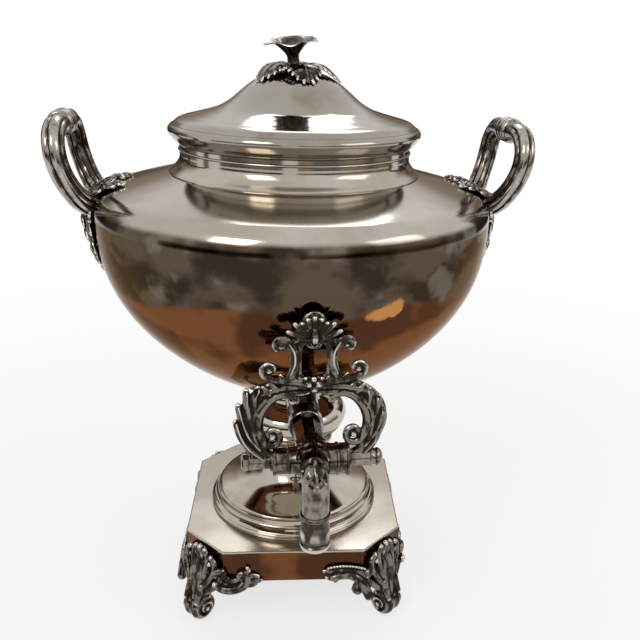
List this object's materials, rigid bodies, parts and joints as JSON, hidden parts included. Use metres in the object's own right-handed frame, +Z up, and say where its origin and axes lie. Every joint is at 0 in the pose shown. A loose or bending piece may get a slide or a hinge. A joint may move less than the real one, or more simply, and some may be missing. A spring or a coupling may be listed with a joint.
{
  "type": "hot water urn",
  "caption": "Wide-bowled hot water urn on a pedestal and square plinth with scroll feet; lift-off domed lid, loop handles and a tap turned by an openwork yoke lever.",
  "frame": {"origin": "on the bowl's axis, at the floor that the four feet stand on", "axes": "+Z up, the tap towards -Y, the handles at -X and +X"},
  "size_m": [0.3464, 0.3266, 0.4387],
  "materials": {
    "bright_plate": "old silver plate on spun sheet, polished, with fine wear",
    "cast_plate": "old silver plate on castings, bright on the high points and dark in the recesses",
    "turned_plate": "silver plate on turned brass, polished",
    "plug_brass": "turned brass, unplated",
    "iron": "plain dark iron"
  },
  "bodies": {
    "root": {"plinth": "bright_plate", "foot_nuts": "iron", "pedestal_foot": "bright_plate", "stem_ring": "bright_plate", "knop": "bright_plate", "bowl_socket": "bright_plate", "bowl_boss": "turned_plate", "tie_rod": "iron", "tie_washer": "iron", "tie_nut": "iron", "bowl": "bright_plate", "shoulder": "bright_plate", "collar": "bright_plate", "handle_right": "cast_plate", "handle_left": "cast_plate", "handle_band_right": "cast_plate", "handle_band_left": "cast_plate", "handle_leaf_right": "cast_plate", "handle_leaf_left": "cast_plate", "tap_socket": "turned_plate", "tap_barrel": "turned_plate", "tap_spout": "turned_plate", "spout_nozzle": "turned_plate", "heater_sleeve": "turned_plate", "heating_iron": "iron", "foot_rear_right": "cast_plate", "foot_rear_left": "cast_plate", "foot_front_left": "cast_plate", "foot_front_right": "cast_plate"},
    "lid": {"lid_rim": "bright_plate", "lid_skirt": "bright_plate", "lid_dome": "bright_plate", "finial_leaves": "cast_plate", "finial_flower": "cast_plate", "finial_nut": "plug_brass"},
    "tap_lever": {"tap_plug": "plug_brass", "plug_washer": "turned_plate", "yoke_lever": "cast_plate", "lever_nut": "turned_plate", "lever_cap": "turned_plate"},
    "sleeve_cap": {"sleeve_cap": "turned_plate", "sleeve_cap_knob": "turned_plate"}
  },
  "joints": [
    {"name": "lid_lift", "type": "slide", "parent": "root", "child": "lid", "axis": [0, 0, 1], "range_m": [0, 0.08]},
    {"name": "lever_turn", "type": "hinge", "parent": "root", "child": "tap_lever", "pos_m": [0, -0.15, 0.184], "axis": [1, 0, 0], "range_deg": [0, 90]},
    {"name": "cap_lift", "type": "slide", "parent": "root", "child": "sleeve_cap", "axis": [0, 0, 1], "range_m": [0, 0.03]}
  ]
}
